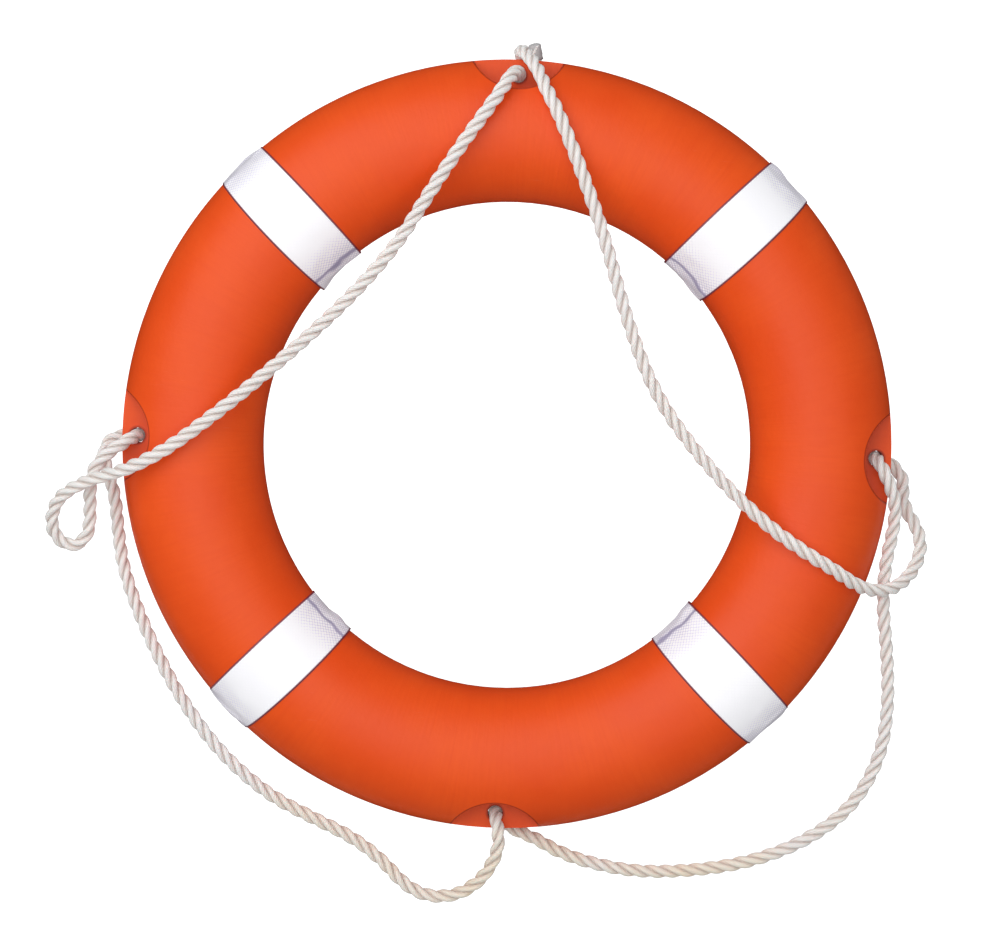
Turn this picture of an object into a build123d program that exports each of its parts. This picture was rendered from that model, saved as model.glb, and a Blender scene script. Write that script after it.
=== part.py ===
from build123d import *
from math import pi, radians, tan
import os

# Ring lifebuoy, hung upright. +Z is up, the ring's axis runs along Y and its front faces -Y.
# The origin is the top of the inner rim, where the ring hangs on a hook. Millimetres.

# ---- driving dimensions ----
OUTER_RADIUS = 355.0
INNER_RADIUS = 225.0
BODY_THICKNESS = 110.0
SHELL_WALL = 3.0
FOAM_GAP = 0.3

WEB_THICKNESS = 20.0
POCKET_RADIUS = 45.0
POCKET_CENTRE_RADIUS = 368.5
HOLE_CENTRE_RADIUS = 340.0
HOLE_DIAMETER = 14.0

TAPE_WIDTH = 50.8
TAPE_THICKNESS = 0.5
TAPE_GLUE = 0.2
TAPE_ARC = 24.0

ROPE_DIAMETER = 12.0
SEAL_LENGTH = 14.0
SEAL_WALL = 0.8

FILL_PLUG_DIAMETER = 20.0
VENT_PLUG_DIAMETER = 12.0
PLUG_LIP = 4.0
PLUG_FLANGE = 1.6
PLUG_STEM = 5.0
PLUG_CLEARANCE = 0.3

# ---- worked out from them ----
SECTION_RADIUS = (OUTER_RADIUS + INNER_RADIUS) / 2
HALF_WIDTH = (OUTER_RADIUS - INNER_RADIUS) / 2
HALF_THICKNESS = BODY_THICKNESS / 2
CENTRE_Z = -INNER_RADIUS
RING_AXIS = Axis((0, 0, CENTRE_Z), (0, -1, 0))
PLUG_SEAT = HALF_THICKNESS - PLUG_FLANGE
HOLE_ANGLES = (0, 90, 180, 270)
TAPES = {"upper_right": 45, "upper_left": 135, "lower_left": 225, "lower_right": 315}
PLUGS = {"foam_fill_plug": (FILL_PLUG_DIAMETER, 250), "vent_plug": (VENT_PLUG_DIAMETER, 290)}


def radial_plane(angle):
    """The plane that holds the ring's axis at an angle from +X towards +Z: x outwards, y along +Y."""
    outward = Vector(1, 0, 0).rotate(Axis((0, 0, 0), (0, -1, 0)), angle)
    return Plane(origin=(0, 0, CENTRE_Z), x_dir=outward, z_dir=outward.cross(Vector(0, 1, 0)))


def face_plane(y=0.0):
    """The plane of the ring at a distance y: x along +X, y along +Z, and its normal towards -Y."""
    return Plane(origin=(0, y, CENTRE_Z), x_dir=(1, 0, 0), z_dir=(0, -1, 0))


def around(radius, angles):
    """Points of face_plane at one radius, at angles from +X towards +Z."""
    return [Vector(radius, 0).rotate(Axis.Z, angle) for angle in angles]


def export(piece, name):
    piece.part.label = name
    export_step(piece.part, f"parts/{name}.step")
    solids = piece.part.solids()
    print(f"{name}: {len(solids)} solid(s), {sum(solid.volume for solid in solids) / 1000:.1f} cm3")


os.makedirs("parts", exist_ok=True)

# ---- the body's outside and the hollow inside it ----
def half_ring(wall, side):
    """Half of the ring a wall's thickness inside the body: side is -1 at the front, 1 at the back."""
    with BuildPart() as ring:
        with BuildSketch(radial_plane(TAPES["upper_right"])):
            with Locations((SECTION_RADIUS, 0)):
                Ellipse(HALF_WIDTH - wall, HALF_THICKNESS - wall)
            with Locations((SECTION_RADIUS, side * BODY_THICKNESS / 2)):
                Rectangle(2 * BODY_THICKNESS, BODY_THICKNESS, mode=Mode.INTERSECT)
        revolve(axis=RING_AXIS)
    return ring


def half_hollow(wall, side):
    """Half of the space inside a wall, which stops that wall short of each pocket too."""
    with BuildPart() as space:
        add(half_ring(wall, side).part)
        with BuildSketch(face_plane()):
            with Locations(*around(POCKET_CENTRE_RADIUS, HOLE_ANGLES)):
                Circle(POCKET_RADIUS + wall)
        extrude(amount=BODY_THICKNESS, both=True, mode=Mode.SUBTRACT)
    return space


# ---- the two moulded half shells, welded together on the middle plane ----
def half_shell(side, plugs):
    """One half of the body: side is -1 at the front and 1 at the back, with the plugs' holes in it."""
    with BuildPart() as shell:
        add(half_ring(0, side).part)
        add(half_hollow(SHELL_WALL, side).part, mode=Mode.SUBTRACT)
        # the pocket at each rope hole, down to the web
        with BuildSketch(face_plane(side * WEB_THICKNESS / 2)):
            with Locations(*around(POCKET_CENTRE_RADIUS, HOLE_ANGLES)):
                Circle(POCKET_RADIUS)
        extrude(amount=-side * BODY_THICKNESS, mode=Mode.SUBTRACT)
        # the rope holes through the web
        with BuildSketch(face_plane()):
            with Locations(*around(HOLE_CENTRE_RADIUS, HOLE_ANGLES)):
                Circle(HOLE_DIAMETER / 2)
        extrude(amount=WEB_THICKNESS, both=True, mode=Mode.SUBTRACT)
        # each plug's flat seat and its hole through the wall
        for diameter, angle in plugs:
            with BuildSketch(face_plane(PLUG_SEAT)):
                with Locations(*around(SECTION_RADIUS, [angle])):
                    Circle(diameter / 2 + PLUG_LIP + PLUG_CLEARANCE)
            extrude(amount=-2 * PLUG_FLANGE, mode=Mode.SUBTRACT)
            with BuildSketch(face_plane(PLUG_SEAT)):
                with Locations(*around(SECTION_RADIUS, [angle])):
                    Circle(diameter / 2 + PLUG_CLEARANCE)
            extrude(amount=2 * SHELL_WALL, mode=Mode.SUBTRACT)
    return shell


export(half_shell(-1, ()), "front_shell")
export(half_shell(1, PLUGS.values()), "back_shell")

# ---- the foam that fills the hollow, with a dent behind each plug's stem ----
with BuildPart() as foam_core:
    for side in (-1, 1):
        add(half_hollow(SHELL_WALL + FOAM_GAP, side).part)
    for diameter, angle in PLUGS.values():
        with BuildSketch(face_plane(PLUG_SEAT)):
            with Locations(*around(SECTION_RADIUS, [angle])):
                Circle(diameter / 2 + PLUG_CLEARANCE)
        extrude(amount=PLUG_STEM + 2 * PLUG_CLEARANCE, mode=Mode.SUBTRACT)
export(foam_core, "foam_core")

# ---- the plugs pressed into the back ----
for plug_name, (diameter, angle) in PLUGS.items():
    with BuildPart() as plug:
        with BuildSketch(face_plane(PLUG_SEAT)):
            with Locations(*around(SECTION_RADIUS, [angle])):
                Circle(diameter / 2 + PLUG_LIP)
        extrude(amount=-PLUG_FLANGE)
        fillet(plug.edges().filter_by(GeomType.CIRCLE).sort_by(Axis.Y)[-1], PLUG_FLANGE / 2)
        with BuildSketch(face_plane(PLUG_SEAT)):
            with Locations(*around(SECTION_RADIUS, [angle])):
                Circle(diameter / 2)
        extrude(amount=PLUG_STEM)
    export(plug, plug_name)

# ---- the four reflective tapes, each a straight strip wrapped once round the body ----
for tape_name, angle in TAPES.items():
    with BuildPart() as tape:
        with BuildSketch(radial_plane(angle - TAPE_ARC / 2)):
            with Locations((SECTION_RADIUS, 0)):
                outside = TAPE_GLUE + TAPE_THICKNESS
                Ellipse(HALF_WIDTH + outside, HALF_THICKNESS + outside)
                Ellipse(HALF_WIDTH + TAPE_GLUE, HALF_THICKNESS + TAPE_GLUE, mode=Mode.SUBTRACT)
        revolve(axis=RING_AXIS, revolution_arc=TAPE_ARC)
        with BuildSketch(radial_plane(angle)):
            with Locations((SECTION_RADIUS, 0)):
                Rectangle(2 * BODY_THICKNESS, 2 * BODY_THICKNESS)
        extrude(amount=TAPE_WIDTH / 2, both=True, mode=Mode.INTERSECT)
    export(tape, f"reflective_tape_{tape_name}")

# ---- the grab line: one rope through the four holes, from the knot at the top round to it again ----
# Points are (x, y, height above the ring's centre). The route starts in the knot behind the top web.
ROPE_ROUTE = [
    # over the outer rim and down the front to the right
    (6, 31, 351),
    (0, 14, 362),
    (3, -15, 362),
    (10, -32, 353),
    (18, -45, 340),
    (25, -56, 323),
    (33, -63, 308),
    (41, -66, 291),
    (58, -67, 252),
    (82, -67, 190),
    (103, -66, 120),
    (132, -66, 50),
    (180, -66, -10),
    (231, -67, -58),
    (270, -67, -84),
    (297, -61, -99),
    (315, -51, -111),
    # the loose loop beside the right hole, which comes up to it from behind
    (330, -41, -118),
    (344, -33, -120),
    (358, -25, -118),
    (370, -16, -111),
    (379, -9, -101),
    (385, -4, -88),
    (386, 1, -75),
    (382, 6, -62),
    (374, 11, -50),
    (370, 16, -36),
    (372, 19, -22),
    (364, 24, -9),
    (352, 23, -2),
    (340, 15, 0),
    # out of the right hole, down, and under the ring to the bottom hole
    (340, -14, 0),
    (345, -23, -10),
    (351, -23, -23),
    (357, -19, -37),
    (359, -14, -53),
    (357, -12, -71),
    (353, -12, -91),
    (351, -13, -113),
    (351, -14, -140),
    (356, -13, -176),
    (360, -11, -225),
    (356, -8, -275),
    (333, -5, -323),
    (293, -3, -357),
    (241, -1, -380),
    (185, 1, -391),
    (130, 3, -394),
    (83, 6, -386),
    (57, 8, -377),
    (42, 11, -369),
    (28, 15, -364),
    (14, 22, -360),
    (4, 23, -351),
    (0, 15, -340),
    # out of the bottom hole, round below the ring, and up to the left hole from behind
    (0, -14, -340),
    (3, -23, -352),
    (4, -22, -369),
    (-2, -18, -387),
    (-14, -13, -405),
    (-35, -9, -419),
    (-62, -6, -421),
    (-84, -4, -410),
    (-104, -2, -389),
    (-132, 0, -369),
    (-168, 1, -353),
    (-214, 1, -331),
    (-262, 1, -290),
    (-301, 2, -237),
    (-332, 3, -178),
    (-353, 6, -126),
    (-359, 9, -90),
    (-363, 13, -60),
    (-371, 17, -36),
    (-378, 20, -19),
    (-370, 24, -4),
    (-353, 23, -1),
    (-340, 15, 0),
    # out of the left hole, round the loose loop and across the front to the top hole
    (-340, -14, 0),
    (-349, -24, -6),
    (-361, -27, -14),
    (-373, -26, -25),
    (-380, -23, -40),
    (-381, -18, -57),
    (-381, -14, -76),
    (-383, -11, -92),
    (-392, -9, -103),
    (-405, -9, -103),
    (-415, -13, -92),
    (-416, -19, -77),
    (-409, -26, -60),
    (-395, -33, -49),
    (-378, -41, -41),
    (-361, -48, -35),
    (-345, -55, -30),
    (-327, -62, -22),
    (-301, -67, -7),
    (-266, -68, 20),
    (-228, -67, 52),
    (-188, -66, 88),
    (-143, -66, 132),
    (-103, -66, 180),
    (-75, -67, 228),
    (-50, -68, 268),
    (-30, -66, 297),
    (-16, -62, 318),
    (-8, -54, 332),
    (-3, -40, 339),
    (0, -24, 341),
    (1, -9, 340),
    (0, 14, 340),
    (-6, 29, 343),
]
# The two ends of the same rope, where they come out of the knot: one stands up, one lies to the left.
UPPER_TAIL = [(12, 41, 347), (13, 42, 356), (15, 42, 365), (14, 41, 375)]
SIDE_TAIL = [(-14, 38, 347), (-24, 43, 344), (-36, 47, 339), (-48, 50, 332)]
KNOT_CENTRE = (0, 35, 347)
KNOT_SIZE = (36, 28, 24)
KNOT_ROUNDING = 11.0


def in_frame(point):
    """A point given from the ring's centre, in the part's own frame."""
    return Vector(*point) + Vector(0, 0, CENTRE_Z)


def corner_radii(points):
    """The largest arc that each corner of a route has room for: 0.45 of its shorter run."""
    radii = []
    for before, corner, after in zip(points, points[1:], points[2:]):
        turn = radians((corner - before).get_angle(after - corner))
        run = min((corner - before).length, (after - corner).length)
        radii.append(0.45 * run / tan(turn / 2))
    return radii


def rope(name, route):
    """A tube along straight runs and tangent arcs through a route, and a print of its radii."""
    points = [in_frame(point) for point in route]
    radii = corner_radii(points)
    with BuildPart() as tube:
        with BuildLine() as path:
            FilletPolyline(*points, radius=radii)
        centreline = path.wire()
        with BuildSketch(Plane(origin=centreline @ 0, z_dir=centreline % 0)):
            Circle(ROPE_DIAMETER / 2)
        sweep(path=centreline)
    length = centreline.length
    expected = length * pi * ROPE_DIAMETER**2 / 4
    print(f"{name}: {length:.0f} mm of rope, volume is {tube.part.volume / expected:.4f} of its section's")
    print(f"{name}: radii from {min(radii):.0f} mm:", *[f"{radius:.0f}" for radius in radii])
    return tube


grab_line = rope("grab_line", ROPE_ROUTE)
export(grab_line, "grab_line")

# ---- the heat-shrink seal on each end of the rope, one above the knot and one beside it ----
tails = {"upper": rope("grab_line_tail_upper", UPPER_TAIL), "side": rope("grab_line_tail_side", SIDE_TAIL)}
for tail_name, route in {"upper": UPPER_TAIL, "side": SIDE_TAIL}.items():
    end = in_frame(route[-1])
    along = (end - in_frame(route[-2])).normalized()
    with BuildPart() as seal:
        with BuildSketch(Plane(origin=end - along * (SEAL_LENGTH - SEAL_WALL), z_dir=along)):
            Circle(ROPE_DIAMETER / 2 + SEAL_WALL)
        extrude(amount=SEAL_LENGTH)
        add(tails[tail_name].part, mode=Mode.SUBTRACT)
    export(seal, f"end_seal_{tail_name}")

# ---- the knot that joins the two ends behind the top web, as one closed lump ----
with BuildPart() as knot:
    with BuildSketch(Plane(origin=in_frame(KNOT_CENTRE), x_dir=(1, 0, 0), z_dir=(0, 0, 1))):
        RectangleRounded(KNOT_SIZE[0], KNOT_SIZE[1], KNOT_ROUNDING)
    extrude(amount=KNOT_SIZE[2] / 2, both=True)
    fillet(knot.edges().group_by(Axis.Z)[-1] + knot.edges().group_by(Axis.Z)[0], KNOT_ROUNDING / 2)
    add(grab_line.part, mode=Mode.SUBTRACT)
    for tail in tails.values():
        add(tail.part, mode=Mode.SUBTRACT)
export(knot, "grab_line_knot")
for tail_name, tail in tails.items():
    export(tail, f"grab_line_tail_{tail_name}")
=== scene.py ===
import bpy
import bmesh
import math
from mathutils import Matrix, Vector, noise


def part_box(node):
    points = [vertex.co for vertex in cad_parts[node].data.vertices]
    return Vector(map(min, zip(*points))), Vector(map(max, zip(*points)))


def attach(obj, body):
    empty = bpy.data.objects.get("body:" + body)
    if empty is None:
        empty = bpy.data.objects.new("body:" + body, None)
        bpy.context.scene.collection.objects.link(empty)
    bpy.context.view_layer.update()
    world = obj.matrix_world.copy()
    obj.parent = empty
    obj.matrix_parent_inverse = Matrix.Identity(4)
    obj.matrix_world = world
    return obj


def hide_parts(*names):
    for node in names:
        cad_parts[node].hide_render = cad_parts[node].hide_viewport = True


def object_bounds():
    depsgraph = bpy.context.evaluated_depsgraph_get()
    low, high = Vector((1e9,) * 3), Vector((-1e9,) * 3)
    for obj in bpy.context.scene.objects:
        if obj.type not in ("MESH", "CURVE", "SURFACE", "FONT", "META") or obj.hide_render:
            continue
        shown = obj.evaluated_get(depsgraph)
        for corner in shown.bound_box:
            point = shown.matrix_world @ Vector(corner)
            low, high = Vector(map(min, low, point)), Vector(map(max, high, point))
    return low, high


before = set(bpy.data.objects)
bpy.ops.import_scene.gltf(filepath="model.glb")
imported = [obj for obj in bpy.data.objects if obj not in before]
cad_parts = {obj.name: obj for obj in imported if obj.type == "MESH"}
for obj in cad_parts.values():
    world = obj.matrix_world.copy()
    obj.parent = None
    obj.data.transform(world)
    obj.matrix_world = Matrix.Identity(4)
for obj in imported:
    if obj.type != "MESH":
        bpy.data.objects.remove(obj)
CAD_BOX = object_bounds()
MM = 0.001

# ---- the frame's own sizes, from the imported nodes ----
SHELL_LOW, SHELL_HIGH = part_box("front_shell")
BACK_LOW, BACK_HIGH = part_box("back_shell")
OUTER_RADIUS = (SHELL_HIGH[0] - SHELL_LOW[0]) / 2
CENTRE = Vector((0, 0, (SHELL_HIGH[2] + SHELL_LOW[2]) / 2))
INNER_RADIUS = -CENTRE.z
SECTION_RADIUS = (OUTER_RADIUS + INNER_RADIUS) / 2
HALF_WIDTH = (OUTER_RADIUS - INNER_RADIUS) / 2
HALF_THICKNESS = BACK_HIGH[1]
ROPE_DIAMETER = 12 * MM
TAPE_WIDTH = 50.8 * MM
POCKET_RADIUS, POCKET_CENTRE_RADIUS = 45 * MM, 368.5 * MM
HOLE_RADIUS, HOLE_CENTRE_RADIUS = 7 * MM, 340 * MM

# ---- camera ----
CAMERA_DISTANCE = 2.0
CAMERA_ELEVATION = math.radians(2.5)
CAMERA_ROLL = math.radians(1.8)
CAMERA_SHIFT = (-0.0068, -0.0282)  # sideways and upwards, which puts the ring at its place in the picture
RING_SHARE = 0.7676  # the ring's outer diameter over the picture's width


def make_camera():
    data = bpy.data.cameras.new("camera")
    data.sensor_width = 36
    data.lens = data.sensor_width * RING_SHARE * CAMERA_DISTANCE / (2 * OUTER_RADIUS)
    data.shift_x, data.shift_y = CAMERA_SHIFT
    camera = bpy.data.objects.new("camera", data)
    bpy.context.collection.objects.link(camera)
    towards = Vector((0, -math.cos(CAMERA_ELEVATION), math.sin(CAMERA_ELEVATION)))
    turn = towards.to_track_quat("Z", "Y").to_matrix().to_4x4()
    place = Matrix.Translation(CENTRE + towards * CAMERA_DISTANCE)
    camera.matrix_world = place @ turn @ Matrix.Rotation(CAMERA_ROLL, 4, "Z")
    bpy.context.scene.camera = camera


make_camera()

# ---- the grab line's route in millimetres from the ring's centre, as in the CAD part except at the knot ----
SIDE_TAIL = [(-48, 50, 332), (-36, 47, 339), (-25, 43, 344)]
ROPE_ROUTE = [
    (0, 14, 362),
    (3, -15, 362),
    (10, -32, 353),
    (18, -45, 340),
    (25, -56, 323),
    (33, -63, 308),
    (41, -66, 291),
    (58, -67, 252),
    (82, -67, 190),
    (103, -66, 120),
    (132, -66, 50),
    (180, -66, -10),
    (231, -67, -58),
    (270, -67, -84),
    (297, -61, -99),
    (315, -51, -111),
    (330, -41, -118),
    (344, -33, -120),
    (358, -25, -118),
    (370, -16, -111),
    (379, -9, -101),
    (385, -4, -88),
    (386, 1, -75),
    (382, 6, -62),
    (374, 11, -50),
    (370, 16, -36),
    (372, 19, -22),
    (364, 24, -9),
    (352, 23, -2),
    (340, 15, 0),
    (340, -14, 0),
    (345, -23, -10),
    (351, -23, -23),
    (357, -19, -37),
    (359, -14, -53),
    (357, -12, -71),
    (353, -12, -91),
    (351, -13, -113),
    (351, -14, -140),
    (356, -13, -176),
    (360, -11, -225),
    (356, -8, -275),
    (333, -5, -323),
    (293, -3, -357),
    (241, -1, -380),
    (185, 1, -391),
    (130, 3, -394),
    (83, 6, -386),
    (57, 8, -377),
    (42, 11, -369),
    (28, 15, -364),
    (14, 22, -360),
    (4, 23, -351),
    (0, 15, -340),
    (0, -14, -340),
    (3, -23, -352),
    (4, -22, -369),
    (-2, -18, -387),
    (-14, -13, -405),
    (-35, -9, -419),
    (-62, -6, -421),
    (-84, -4, -410),
    (-104, -2, -389),
    (-132, 0, -369),
    (-168, 1, -353),
    (-214, 1, -331),
    (-262, 1, -290),
    (-301, 2, -237),
    (-332, 3, -178),
    (-353, 6, -126),
    (-359, 9, -90),
    (-363, 13, -60),
    (-371, 17, -36),
    (-378, 20, -19),
    (-370, 24, -4),
    (-353, 23, -1),
    (-340, 15, 0),
    (-340, -14, 0),
    (-349, -24, -6),
    (-361, -27, -14),
    (-373, -26, -25),
    (-380, -23, -40),
    (-381, -18, -57),
    (-381, -14, -76),
    (-383, -11, -92),
    (-392, -9, -103),
    (-405, -9, -103),
    (-415, -13, -92),
    (-416, -19, -77),
    (-409, -26, -60),
    (-395, -33, -49),
    (-378, -41, -41),
    (-361, -48, -35),
    (-345, -55, -30),
    (-327, -62, -22),
    (-301, -67, -7),
    (-266, -68, 20),
    (-228, -67, 52),
    (-188, -66, 88),
    (-143, -66, 132),
    (-103, -66, 180),
    (-75, -67, 228),
    (-50, -68, 268),
    (-30, -66, 297),
    (-16, -62, 318),
    (-8, -54, 332),
    (-3, -40, 339),
    (0, -24, 341),
    (1, -9, 340),
    (0, 14, 340),
]
UPPER_TAIL = [(17, 46, 357), (16, 43, 366), (14, 41, 375)]
KNOT_AXIS = (36, 347.5)
KNOT_HALF_LENGTH = 15
KNOT_RADIUS = 6.4
KNOT_TURNS = 1.25


def knot_turns(start_angle):
    """One strand of the knot: it winds round the other one, from the knot's left end to its right."""
    points = []
    steps = 8
    for step in range(steps + 1):
        share = step / steps
        angle = start_angle + 2 * math.pi * KNOT_TURNS * share
        x = KNOT_HALF_LENGTH * (2 * share - 1)
        y = KNOT_AXIS[0] + KNOT_RADIUS * math.cos(angle)
        z = KNOT_AXIS[1] + KNOT_RADIUS * math.sin(angle)
        points.append((x, y, z))
    return points


def new_object(name, mesh):
    """A piece of the object, in the scene."""
    piece = bpy.data.objects.new(name, mesh)
    bpy.context.collection.objects.link(piece)
    return piece


def rope_line():
    """The whole rope's centreline: the route's points as the control points of one smooth spline."""
    left_in, right_out = knot_turns(0), knot_turns(math.pi)
    route = SIDE_TAIL + left_in + ROPE_ROUTE + right_out + UPPER_TAIL
    curve = bpy.data.curves.new("rope_route", "CURVE")
    curve.dimensions = "3D"
    curve.resolution_u = 12
    spline = curve.splines.new("NURBS")
    spline.points.add(len(route) - 1)
    for control, point in zip(spline.points, route):
        control.co = (*(Vector(point) * MM + CENTRE), 1)
    spline.order_u = 3
    spline.use_endpoint_u = True
    holder = bpy.data.objects.new("rope_route", curve)
    bpy.context.collection.objects.link(holder)
    bpy.context.view_layer.update()
    mesh = bpy.data.meshes.new_from_object(holder)
    points = [vertex.co.copy() for vertex in mesh.vertices]
    bpy.data.meshes.remove(mesh)
    bpy.data.objects.remove(holder)
    return points


def even_steps(points, step):
    """The same line with its points one step apart."""
    out = [points[0]]
    spare = 0.0
    for start, end in zip(points, points[1:]):
        length = (end - start).length
        place = step - spare
        while place <= length:
            out.append(start.lerp(end, place / length))
            place += step
        spare = length - (place - step)
    return out


def carried_frames(points):
    """At each point the tangent and a sideways direction that turns no more than the line does."""
    frames = []
    side = None
    for index, point in enumerate(points):
        ahead = points[min(index + 1, len(points) - 1)]
        behind = points[max(index - 1, 0)]
        tangent = (ahead - behind).normalized()
        if side is None:
            side = tangent.orthogonal().normalized()
        side = (side - tangent * side.dot(tangent)).normalized()
        frames.append((point, tangent, side, tangent.cross(side)))
    return frames


# ---- materials ----
SEAM_NEAR, SEAM_FAR = 0.4 * MM, 1.1 * MM  # from the middle plane: all weld, and no weld
POCKET_SHADE_NEAR, POCKET_SHADE_FAR = 0.4 * MM, 1.5 * MM  # the same for the painted shade on a pocket's edge
HOLE_SHADE_NEAR, HOLE_SHADE_FAR = 0.2 * MM, 2.5 * MM  # and round a rope hole
YARNS = 7
YARN_TURNS = -150.0  # per metre of rope, against the strand's own lay
TAN_BELOW, PALE_ABOVE = 0.42, 0.3  # metres below the ring's centre: the tan patches at full strength below the first, faint above the second
LATTICE_SCALE = 360.0
FOLD_PLACE = 0.925  # where the film folds, from 0 on the face to 1 at the inner rim
# Neither rope nor film gives off light. This small glow is an approximation,
# which lifts them to the brightness that they have in the photo.
ROPE_GLOW = 0.1
FILM_GLOW = 0.25


class Nodes:
    """A material's node tree, with short calls to add a node and to join two sockets."""

    def __init__(self, name):
        self.material = bpy.data.materials.new(name)
        self.material.use_nodes = True
        self.tree = self.material.node_tree
        self.shader = self.tree.nodes["Principled BSDF"]

    def add(self, kind, inputs=None, **settings):
        node = self.tree.nodes.new(kind)
        for key, value in settings.items():
            setattr(node, key, value)
        for key, value in (inputs or {}).items():
            if isinstance(value, bpy.types.NodeSocket):
                self.tree.links.new(value, node.inputs[key])
            else:
                node.inputs[key].default_value = value
        return node

    def join(self, source, target):
        self.tree.links.new(source, target)

    def math(self, operation, first, second=0.0):
        return self.add("ShaderNodeMath", {0: first, 1: second}, operation=operation).outputs[0]

    def noise(self, coordinates, scale, detail=3.0, roughness=0.5):
        inputs = {"Vector": coordinates, "Scale": scale, "Detail": detail, "Roughness": roughness}
        return self.add("ShaderNodeTexNoise", inputs).outputs["Fac"]

    def distance(self, first, second, place):
        """How far a point lies from a place on the first direction's own line."""
        gap = self.math("SUBTRACT", first, place)
        return self.math("SQRT", self.math("ADD", self.math("MULTIPLY", gap, gap),
                                           self.math("MULTIPLY", second, second)))

    def spread(self, value, low, high, to_low=0.0, to_high=1.0):
        inputs = {"Value": value, "From Min": low, "From Max": high, "To Min": to_low, "To Max": to_high}
        return self.add("ShaderNodeMapRange", inputs).outputs["Result"]

    def mix(self, factor, first, second):
        node = self.add("ShaderNodeMix", data_type="RGBA")
        for socket, value in zip((node.inputs[0], node.inputs[6], node.inputs[7]), (factor, first, second)):
            if isinstance(value, bpy.types.NodeSocket):
                self.join(value, socket)
            else:
                socket.default_value = value
        return node.outputs[2]

    def bump(self, height, distance, strength=1.0, normal=None):
        inputs = {"Height": height, "Distance": distance, "Strength": strength}
        if normal is not None:
            inputs["Normal"] = normal
        return self.add("ShaderNodeBump", inputs).outputs["Normal"]


def colour(red, green, blue):
    """A display colour from 0 to 255 as the linear one that shaders take."""
    def linear(value):
        value /= 255
        return value / 12.92 if value <= 0.04045 else ((value + 0.055) / 1.055) ** 2.4
    return (linear(red), linear(green), linear(blue), 1.0)


def moulded_plastic(name, base, dark, roughness):
    """Moulded polyethylene: an even colour with cloudy depth, fine lines, a weld, painted shade along the
    pocket edges and round the holes, and faint scuffs.
    """
    n = Nodes(name)
    place = n.add("ShaderNodeTexCoord").outputs["Object"]
    clouds = n.noise(place, 14, 4)
    speckle = n.noise(place, 900, 2, 0.6)
    tint = n.mix(n.spread(clouds, 0.35, 0.7), dark, base)
    tint = n.mix(n.math("MULTIPLY", n.spread(speckle, 0.3, 0.7), 0.12), tint, base)
    # faint machining lines of the mould, which run across the ring's section
    parts = n.add("ShaderNodeSeparateXYZ", {"Vector": place})
    height = n.math("SUBTRACT", parts.outputs[2], CENTRE.z)
    turn = n.math("ARCTAN2", height, parts.outputs[0])
    radius = n.distance(height, parts.outputs[0], 0.0)
    polar = n.add("ShaderNodeCombineXYZ", {0: n.math("MULTIPLY", turn, SECTION_RADIUS),
                                           1: n.math("MULTIPLY", radius, 0.06)})
    lines = n.noise(polar.outputs[0], 330, 2, 0.6)
    tint = n.mix(n.spread(lines, 0.42, 0.72, 0.0, 0.5), tint, dark)
    # the weld where the two halves meet, a thin raised line on the middle plane
    seam = n.spread(n.math("ABSOLUTE", parts.outputs[1]), SEAM_NEAR, SEAM_FAR, 1.0, 0.0)
    tint = n.mix(n.math("MULTIPLY", seam, 0.5), tint, colour(190, 52, 10))
    # painted shade: a fine dark line along each pocket's edge, where its wall falls in shade, and round each
    # rope hole's mouth
    wide, high = n.math("ABSOLUTE", parts.outputs[0]), n.math("ABSOLUTE", height)
    near, far = n.math("MINIMUM", wide, high), n.math("MAXIMUM", wide, high)
    pocket = n.distance(far, near, POCKET_CENTRE_RADIUS)
    from_edge = n.math("ABSOLUTE", n.math("SUBTRACT", pocket, POCKET_RADIUS))
    rim = n.spread(from_edge, POCKET_SHADE_NEAR, POCKET_SHADE_FAR, 0.75, 0.0)
    from_hole = n.distance(far, near, HOLE_CENTRE_RADIUS)
    hole = n.spread(from_hole, HOLE_RADIUS + HOLE_SHADE_NEAR, HOLE_RADIUS + HOLE_SHADE_FAR, 0.85, 0.0)
    tint = n.mix(n.math("MAXIMUM", rim, hole), tint, colour(150, 36, 8))
    # faint straight scuffs, long in one direction
    scuff_way = {"Vector": place, "Rotation": (0.3, 0.9, 0.5), "Scale": (1, 1, 14)}
    stretched = n.add("ShaderNodeMapping", scuff_way)
    scuff = n.spread(n.noise(stretched.outputs[0], 45, 3, 0.7), 0.66, 0.74)
    patch = n.spread(n.noise(place, 7, 1), 0.52, 0.66)
    patchy_tint = n.math("MULTIPLY", n.math("MULTIPLY", scuff, patch), 0.18)
    tint = n.mix(patchy_tint, tint, colour(240, 130, 96))
    n.join(tint, n.shader.inputs["Base Color"])
    cloudy = n.spread(clouds, 0.3, 0.7, roughness - 0.04, roughness + 0.05)
    n.join(n.math("ADD", cloudy, n.math("MULTIPLY", patchy_tint, 0.5)), n.shader.inputs["Roughness"])
    peel = n.bump(n.noise(place, 260, 2, 0.5), 0.00025, 0.5)
    ridges = n.bump(seam, 0.0005, 0.8, n.bump(lines, 0.0003, 0.5, peel))
    n.join(n.bump(speckle, 0.00006, 0.5, ridges), n.shader.inputs["Normal"])
    n.shader.inputs["Specular IOR Level"].default_value = 0.35
    return n.material


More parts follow.
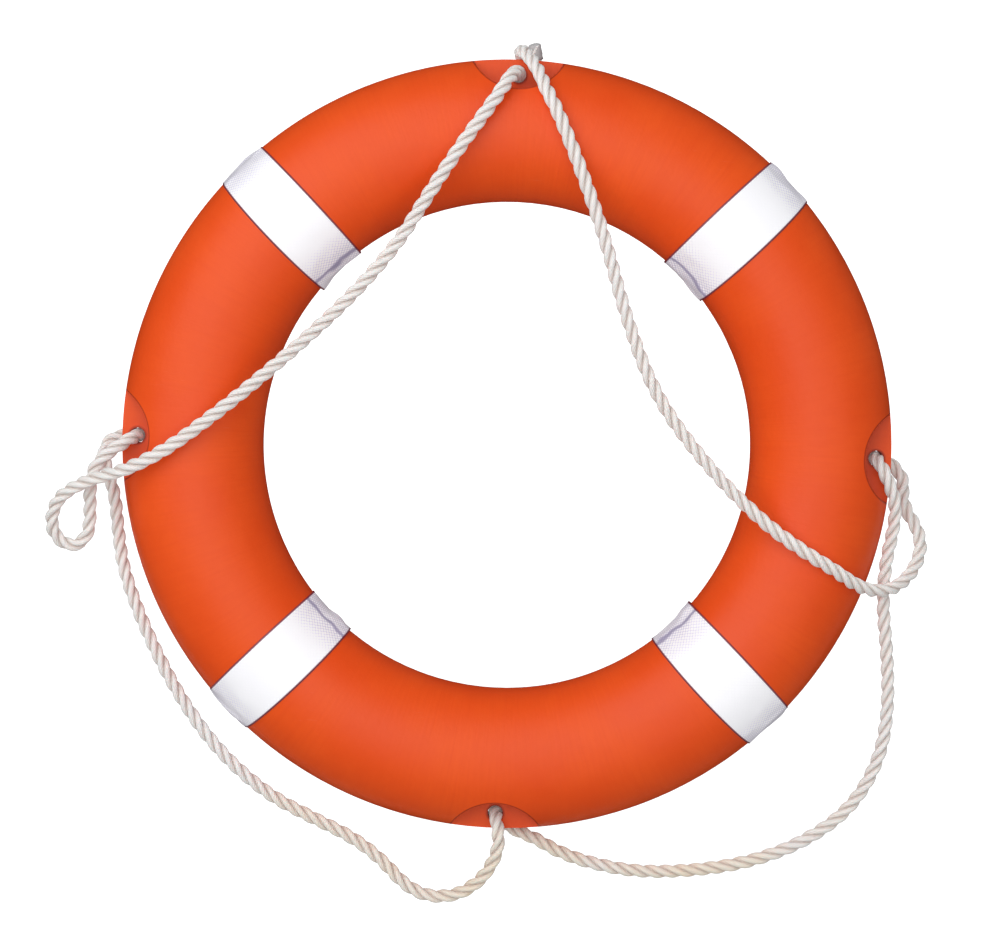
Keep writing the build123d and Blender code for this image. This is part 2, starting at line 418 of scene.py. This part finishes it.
def three_strand_rope():
    """Twisted synthetic yarns: pale filaments, painted grey-pink shade between them and between the strands,
    and tan in patches towards the bottom.
    """
    n = Nodes("twisted_rope")
    place = n.add("ShaderNodeTexCoord").outputs["Object"]
    along = n.add("ShaderNodeUVMap", uv_map="strand").outputs[0]
    parts = n.add("ShaderNodeSeparateXYZ", {"Vector": along})
    length, around = parts.outputs[0], parts.outputs[1]
    # the yarns of a strand: they wind round it the other way to the strand's own lay
    lay = n.math("ADD", n.math("MULTIPLY", around, YARNS), n.math("MULTIPLY", length, YARN_TURNS))
    yarn = n.spread(n.math("SINE", n.math("MULTIPLY", lay, 2 * math.pi)), -1, 1)
    threads = n.add("ShaderNodeCombineXYZ", {0: lay, 1: n.math("MULTIPLY", length, 60.0)})
    filament = n.noise(threads.outputs[0], 4.0, 3, 0.7)
    wobble = n.noise(place, 1400, 3, 0.7)
    blotches = n.noise(place, 9, 3, 0.6)
    height = n.add("ShaderNodeSeparateXYZ", {"Vector": place}).outputs[2]
    # tan in patches, at full strength towards the bottom of the rope
    low_down = n.spread(height, CENTRE.z - TAN_BELOW, CENTRE.z - PALE_ABOVE, 1.0, 0.12)
    patchy_tint = n.math("MULTIPLY", low_down, n.spread(blotches, 0.3, 0.6))
    base = n.mix(patchy_tint, colour(255, 253, 251), colour(252, 232, 196))
    # painted shade: grey-pink in the grooves between the yarns, and a darker tan-grey down the valleys
    # between the strands
    shade = n.mix(n.spread(yarn, 0.0, 0.45, 0.4, 0.0), base, colour(190, 168, 166))
    valley = n.spread(n.math("ABSOLUTE", n.math("SUBTRACT", around, 0.5)), 0.2, 0.34, 0.6, 0.0)
    shade = n.mix(valley, shade, colour(168, 138, 122))
    shade = n.mix(n.math("MULTIPLY", n.spread(filament, 0.42, 0.3), 0.5), shade, colour(198, 180, 182))
    shade = n.mix(n.math("MULTIPLY", n.spread(wobble, 0.45, 0.62), 0.5), shade, colour(255, 253, 250))
    n.join(shade, n.shader.inputs["Base Color"])
    n.join(shade, n.shader.inputs["Emission Color"])
    n.shader.inputs["Emission Strength"].default_value = ROPE_GLOW
    n.join(n.spread(wobble, 0.3, 0.7, 0.34, 0.62), n.shader.inputs["Roughness"])
    first = n.bump(yarn, 0.0005, 0.8)
    second = n.bump(filament, 0.0004, 0.6, first)
    n.join(n.bump(wobble, 0.00025, 0.7, second), n.shader.inputs["Normal"])
    n.shader.inputs["Sheen Weight"].default_value = 0.7
    n.shader.inputs["Sheen Roughness"].default_value = 0.3
    n.shader.inputs["Subsurface Weight"].default_value = 0.3
    n.shader.inputs["Subsurface Radius"].default_value = (0.003, 0.0022, 0.002)
    return n.material


def reflective_film():
    """Retro-reflective tape: white cells under a clear film, sealed by a fine lattice of thin walls."""
    n = Nodes("reflective_film")
    place = n.add("ShaderNodeTexCoord").outputs["Object"]
    flat = n.add("ShaderNodeUVMap", uv_map="tape").outputs[0]
    turned = n.add("ShaderNodeMapping", {"Vector": flat, "Rotation": (0, 0, math.radians(45))})
    grid = {"Vector": turned.outputs[0], "Scale": LATTICE_SCALE, "Randomness": 0.06}
    cells = n.add("ShaderNodeTexVoronoi", grid, feature="DISTANCE_TO_EDGE",
                  voronoi_dimensions="2D").outputs["Distance"]
    wall = n.spread(cells, 0.04, 0.2, 1.0, 0.0)
    parts = n.add("ShaderNodeSeparateXYZ", {"Vector": n.add("ShaderNodeUVMap", uv_map="rim").outputs[0]})
    inward = n.math("SUBTRACT", 1.0, n.math("MULTIPLY", parts.outputs[0], 2.0))
    rim = n.spread(n.math("ABSOLUTE", inward), 0.6, 0.97)
    edge = n.spread(parts.outputs[1], 0.925, 0.955)
    mottle = n.noise(place, 55, 4, 0.6)
    rim = n.math("MULTIPLY", rim, n.spread(mottle, 0.3, 0.6, 0.5, 1.0))
    # painted shade: the film turns grey-violet towards both rims of the section, unevenly, and the lattice,
    # the film's own pattern, shows darker there
    tint = n.mix(rim, colour(244, 244, 246), colour(238, 236, 243))
    lattice = n.math("MULTIPLY", wall, n.math("ADD", n.math("MULTIPLY", rim, 0.45), 0.2))
    tint = n.mix(lattice, tint, colour(140, 132, 168))
    # painted shade along the fold where the strip lifts off the inner rim
    wander = n.math("ADD", inward, n.spread(n.noise(place, 30, 2), 0.3, 0.7, -0.025, 0.025))
    fold = n.spread(n.math("ABSOLUTE", n.math("SUBTRACT", wander, FOLD_PLACE)), 0.006, 0.022, 0.75, 0.0)
    tint = n.mix(fold, tint, colour(128, 120, 158))
    # painted shadow: a thin dark line along the cut edges, where the film meets the body
    tint = n.mix(n.math("MULTIPLY", edge, 0.95), tint, colour(116, 20, 42))
    n.join(tint, n.shader.inputs["Base Color"])
    n.join(tint, n.shader.inputs["Emission Color"])
    n.shader.inputs["Emission Strength"].default_value = FILM_GLOW
    n.join(n.spread(mottle, 0.3, 0.7, 0.32, 0.45), n.shader.inputs["Roughness"])
    first = n.bump(wall, 0.0001, 0.35)
    n.join(n.bump(n.noise(place, 120, 2), 0.0003, 0.25, first), n.shader.inputs["Normal"])
    n.shader.inputs["Coat Weight"].default_value = 0.3
    n.shader.inputs["Coat Roughness"].default_value = 0.2
    return n.material


def heat_shrink():
    """Grey heat-shrink tube, a little shiny, with shallow wrinkles."""
    n = Nodes("heat_shrink")
    place = n.add("ShaderNodeTexCoord").outputs["Object"]
    grain = n.noise(place, 500, 3)
    n.join(n.mix(grain, colour(176, 175, 176), colour(203, 202, 203)), n.shader.inputs["Base Color"])
    n.join(n.spread(grain, 0.3, 0.7, 0.35, 0.5), n.shader.inputs["Roughness"])
    n.join(n.bump(n.noise(place, 700, 2), 0.0002, 0.5), n.shader.inputs["Normal"])
    return n.material


def polyurethane_foam():
    """Poured closed-cell foam, cream, with small cells."""
    n = Nodes("polyurethane_foam")
    place = n.add("ShaderNodeTexCoord").outputs["Object"]
    cells = n.add("ShaderNodeTexVoronoi", {"Vector": place, "Scale": 400.0}).outputs["Distance"]
    n.join(n.mix(cells, colour(214, 196, 150), colour(240, 226, 190)), n.shader.inputs["Base Color"])
    n.join(n.bump(cells, 0.0004, 0.8), n.shader.inputs["Normal"])
    n.join(n.spread(cells, 0.0, 1.0, 0.75, 0.95), n.shader.inputs["Roughness"])
    return n.material


ORANGE = moulded_plastic("moulded_orange", colour(244, 86, 12), colour(237, 77, 8), 0.46)
PLUG_ORANGE = moulded_plastic("plug_orange", colour(226, 74, 14), colour(212, 64, 10), 0.4)
ROPE = three_strand_rope()
FILM = reflective_film()
SEAL = heat_shrink()
FOAM = polyurethane_foam()


def paint(piece, material):
    piece.data.materials.clear()
    piece.data.materials.append(material)


# ---- the grab line ----
STRANDS = 3
STRAND_RADIUS = 3.25 * MM
STRAND_OFFSET = 3.15 * MM
LAY_LENGTH = 42 * MM
STRAND_SIDES = 12
STRAND_SWELL = 0.03
ROPE_STEP = 2.6 * MM


def make_rope():
    line = even_steps(rope_line(), ROPE_STEP)
    frames = carried_frames(line)
    mesh = bmesh.new()
    uv = mesh.loops.layers.uv.new("strand")
    rows_of = []
    for strand in range(STRANDS):
        rows = []
        for index, (point, tangent, side, up) in enumerate(frames):
            twist = 2 * math.pi * (index * ROPE_STEP / LAY_LENGTH + strand / STRANDS)
            out = side * math.cos(twist) + up * math.sin(twist)
            middle = point + out * STRAND_OFFSET
            across = tangent.cross(out)
            swell = 1 + STRAND_SWELL * noise.noise(middle * 60)
            row = []
            for corner in range(STRAND_SIDES):
                angle = 2 * math.pi * corner / STRAND_SIDES
                reach = (out * math.cos(angle) + across * math.sin(angle)) * STRAND_RADIUS * swell
                row.append(mesh.verts.new(middle + reach))
            rows.append(row)
        for index, (first, second) in enumerate(zip(rows, rows[1:])):
            for corner in range(STRAND_SIDES):
                following = (corner + 1) % STRAND_SIDES
                face = mesh.faces.new((first[corner], first[following], second[following], second[corner]))
                turns = (corner, corner + 1, corner + 1, corner)
                steps = (index, index, index + 1, index + 1)
                for loop, turn, step in zip(face.loops, turns, steps):
                    loop[uv].uv = (step * ROPE_STEP, turn / STRAND_SIDES)
                face.smooth = True
        mesh.faces.new(tuple(reversed(rows[0])))
        mesh.faces.new(tuple(rows[-1]))
    bmesh.ops.recalc_face_normals(mesh, faces=mesh.faces)
    data = bpy.data.meshes.new("three_strand_grab_line")
    mesh.to_mesh(data)
    mesh.free()
    piece = new_object("three_strand_grab_line", data)
    paint(piece, ROPE)
    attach(piece, "root")
    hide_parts("grab_line", "grab_line_knot", "grab_line_tail_upper", "grab_line_tail_side")
    return piece, line


rope, rope_points = make_rope()


SEAL_POINTS = 6
SEAL_SIDES = 36
SEAL_DOME = 2.2 * MM
SEAL_MOUTH = 1.04
SEAL_START, SEAL_TAPER = 1.06, 0.05
SEAL_LOBES = 0.035
SEAL_WRINKLES = 0.02
DOME_STEPS = (0.35, 0.65, 0.88)


def make_seal(name, points, node):
    """A heat-shrink sleeve over the rope's last stretch, closed and rounded over its end."""
    frames = carried_frames(points)
    mesh = bmesh.new()
    rows = []
    for index, (point, tangent, side, up) in enumerate(frames):
        share = index / (len(frames) - 1)
        mouth = SEAL_MOUTH if index == 0 else 1.0
        radius = ROPE_DIAMETER / 2 * mouth * (SEAL_START - SEAL_TAPER * share)
        row = []
        for corner in range(SEAL_SIDES):
            angle = 2 * math.pi * corner / SEAL_SIDES
            lobes = 1 + SEAL_LOBES * math.cos(3 * angle - 2 * math.pi * share / 3)
            wrinkle = 1 + SEAL_WRINKLES * math.sin(19 * share + 2 * math.cos(angle))
            out = side * math.cos(angle) + up * math.sin(angle)
            row.append(mesh.verts.new(point + out * radius * lobes * wrinkle))
        rows.append(row)
    point, tangent, side, up = frames[-1]
    for share in DOME_STEPS:
        radius = ROPE_DIAMETER / 2 * (SEAL_START - SEAL_TAPER) * math.cos(share * math.pi / 2)
        rise = tangent * SEAL_DOME * math.sin(share * math.pi / 2)
        row = []
        for corner in range(SEAL_SIDES):
            angle = 2 * math.pi * corner / SEAL_SIDES
            out = side * math.cos(angle) + up * math.sin(angle)
            row.append(mesh.verts.new(point + rise + out * radius))
        rows.append(row)
    for first, second in zip(rows, rows[1:]):
        for corner in range(SEAL_SIDES):
            following = (corner + 1) % SEAL_SIDES
            mesh.faces.new((first[corner], first[following], second[following], second[corner])).smooth = True
    mesh.faces.new(rows[-1]).smooth = True
    mesh.faces.new(tuple(reversed(rows[0])))
    bmesh.ops.recalc_face_normals(mesh, faces=mesh.faces)
    data = bpy.data.meshes.new(name)
    mesh.to_mesh(data)
    mesh.free()
    piece = new_object(name, data)
    paint(piece, SEAL)
    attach(piece, "root")
    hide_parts(node)
    return piece


upper_seal = make_seal("rope_end_seal_upper", rope_points[-SEAL_POINTS:], "end_seal_upper")
side_seal = make_seal("rope_end_seal_side", rope_points[SEAL_POINTS - 1::-1], "end_seal_side")

# ---- the reflective tapes ----
TAPES = {"upper_right": 45, "upper_left": 135, "lower_left": 225, "lower_right": 315}
TAPE_ACROSS = 18
TAPE_AROUND = 220
TAPE_STAND_OFF = 0.45 * MM
TAPE_THICKNESS = 0.4 * MM
OVERLAP_RISE = 0.55 * MM
CREASE_HEIGHT = 3.2 * MM
RIM_WIDTH_SHARE = 0.97  # of the tape's width, at the rims
FACE_EXTRA_SHARE = 0.09  # how much more of it on the faces
LIFT_START, LIFT_SPAN = 0.9, 0.07  # where the film lifts off, from 0 on the face to 1 at the inner rim
OVERLAP_START, OVERLAP_END = math.radians(62), math.radians(80)


def make_tape(place, degrees, seed):
    """A straight strip wrapped once round the body, with an overlap behind and crumples at the rims."""
    angle = math.radians(degrees)
    outward = Vector((math.cos(angle), 0, math.sin(angle)))
    tangent = Vector((-math.sin(angle), 0, math.cos(angle)))
    axis = Vector((0, 1, 0))
    shift = Vector((seed * 3.1, seed * 1.7, 0))
    mesh = bmesh.new()
    uv = mesh.loops.layers.uv.new("tape")
    rims = mesh.loops.layers.uv.new("rim")

    def point(turn, offset, lift):
        """On the body's surface at an angle round its section, an offset along the ring, raised by lift."""
        ring = SECTION_RADIUS + HALF_WIDTH * math.cos(turn)
        normal = Vector((math.cos(turn) / HALF_WIDTH, math.sin(turn) / HALF_THICKNESS)).normalized()
        ring += normal.x * lift
        y = HALF_THICKNESS * math.sin(turn) + normal.y * lift
        return CENTRE + outward * math.sqrt(ring * ring - offset * offset) + tangent * offset + axis * y

    def lift_at(turn, offset):
        """How far the film stands off: crumples at both rims, and a lifted fold at the inner one."""
        rim = abs(math.cos(turn))
        inner = max(0.0, -math.cos(turn))
        creases = noise.noise(Vector((turn * 5, offset * 45, 0)) + shift) * rim ** 4
        lifted = max(0.0, min(1.0, (inner - LIFT_START) / LIFT_SPAN))
        bridge = lifted * (0.5 + 0.9 * abs(offset / TAPE_WIDTH + 0.5))
        return TAPE_STAND_OFF + max(0.0, creases) * CREASE_HEIGHT + bridge * MM

    start, end = OVERLAP_START, OVERLAP_END + 2 * math.pi
    rows = []
    for step in range(TAPE_AROUND + 1):
        turn = start + (end - start) * step / TAPE_AROUND
        over = max(0.0, min(1.0, (turn - 2 * math.pi - start) / 0.04 + 1)) * OVERLAP_RISE
        width = TAPE_WIDTH * (RIM_WIDTH_SHARE + FACE_EXTRA_SHARE * abs(math.sin(turn)) ** 1.5)
        row = []
        for cross in range(TAPE_ACROSS + 1):
            share = 2 * cross / TAPE_ACROSS - 1
            offset = width / 2 * share
            corner = mesh.verts.new(point(turn, offset, lift_at(turn, offset) + over))
            row.append((corner, turn, offset, share))
        rows.append(row)
    for first, second in zip(rows, rows[1:]):
        for cross in range(TAPE_ACROSS):
            corners = (first[cross], first[cross + 1], second[cross + 1], second[cross])
            face = mesh.faces.new([corner[0] for corner in corners])
            face.smooth = True
            for loop, corner in zip(face.loops, corners):
                loop[uv].uv = (corner[2], corner[1] * (HALF_WIDTH + HALF_THICKNESS) / 2)
                loop[rims].uv = ((math.cos(corner[1]) + 1) / 2, abs(corner[3]))
    bmesh.ops.recalc_face_normals(mesh, faces=mesh.faces)
    data = bpy.data.meshes.new(f"tape_{place}")
    mesh.to_mesh(data)
    mesh.free()
    piece = new_object(f"tape_{place}", data)
    paint(piece, FILM)
    solid = piece.modifiers.new("thickness", "SOLIDIFY")
    solid.thickness = TAPE_THICKNESS
    solid.offset = -1
    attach(piece, "root")
    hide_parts(f"reflective_tape_{place}")
    return piece


for seed, (place, degrees) in enumerate(TAPES.items(), 1):
    make_tape(place, degrees, seed)

# ---- the carried-over CAD nodes ----
for node in ("front_shell", "back_shell"):
    paint(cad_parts[node], ORANGE)
for node in ("foam_fill_plug", "vent_plug"):
    paint(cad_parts[node], PLUG_ORANGE)
paint(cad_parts["foam_core"], FOAM)


# ---- stage ----
FLOOR_DROP = 0.25
BEND_STEPS = 12
BACKDROP_GLOW = 0.9
WORLD_STRENGTH = 0.4


def make_stage():
    """A pale floor that curves up into a pale wall behind."""
    n = Nodes("backdrop")
    n.shader.inputs["Base Color"].default_value = (0.93, 0.93, 0.93, 1)
    n.shader.inputs["Roughness"].default_value = 0.9
    n.shader.inputs["Emission Color"].default_value = (1, 1, 1, 1)
    n.shader.inputs["Emission Strength"].default_value = BACKDROP_GLOW
    floor_z = CAD_BOX[0][2] - FLOOR_DROP
    bend, wall_y, half = 0.8, 3.5, 6.0
    profile = [(-half, floor_z)]
    for step in range(BEND_STEPS + 1):
        turn = math.pi / 2 * step / BEND_STEPS
        profile.append((wall_y - bend + bend * math.sin(turn), floor_z + bend - bend * math.cos(turn)))
    profile.append((wall_y, floor_z + half))
    vertices = [(x, y, z) for y, z in profile for x in (-half, half)]
    faces = [(2 * i, 2 * i + 1, 2 * i + 3, 2 * i + 2) for i in range(len(profile) - 1)]
    data = bpy.data.meshes.new("backdrop")
    data.from_pydata(vertices, [], faces)
    data.polygons.foreach_set("use_smooth", [True] * len(faces))
    floor = bpy.data.objects.new("backdrop", data)
    bpy.context.collection.objects.link(floor)
    paint(floor, n.material)
    floor.visible_diffuse = False
    floor.visible_glossy = False


def make_light(name, place, size, power):
    data = bpy.data.lights.new(name, "AREA")
    data.size = size
    data.energy = power
    light = bpy.data.objects.new(name, data)
    bpy.context.collection.objects.link(light)
    light.location = place
    light.rotation_euler = (Vector(place) - CENTRE).to_track_quat("Z", "Y").to_euler()


def make_world():
    world = bpy.data.worlds.new("studio")
    world.use_nodes = True
    background = world.node_tree.nodes["Background"]
    background.inputs["Color"].default_value = (1, 1, 1, 1)
    background.inputs["Strength"].default_value = WORLD_STRENGTH
    world.cycles_visibility.glossy = False
    bpy.context.scene.world = world
    bpy.context.scene.view_settings.view_transform = "Standard"


make_stage()
make_light("key_softbox", (-1.1, -2.3, 0.9), 2.8, 45)
make_light("front_softbox", (0.4, -2.6, -0.6), 2.8, 23)
make_world()
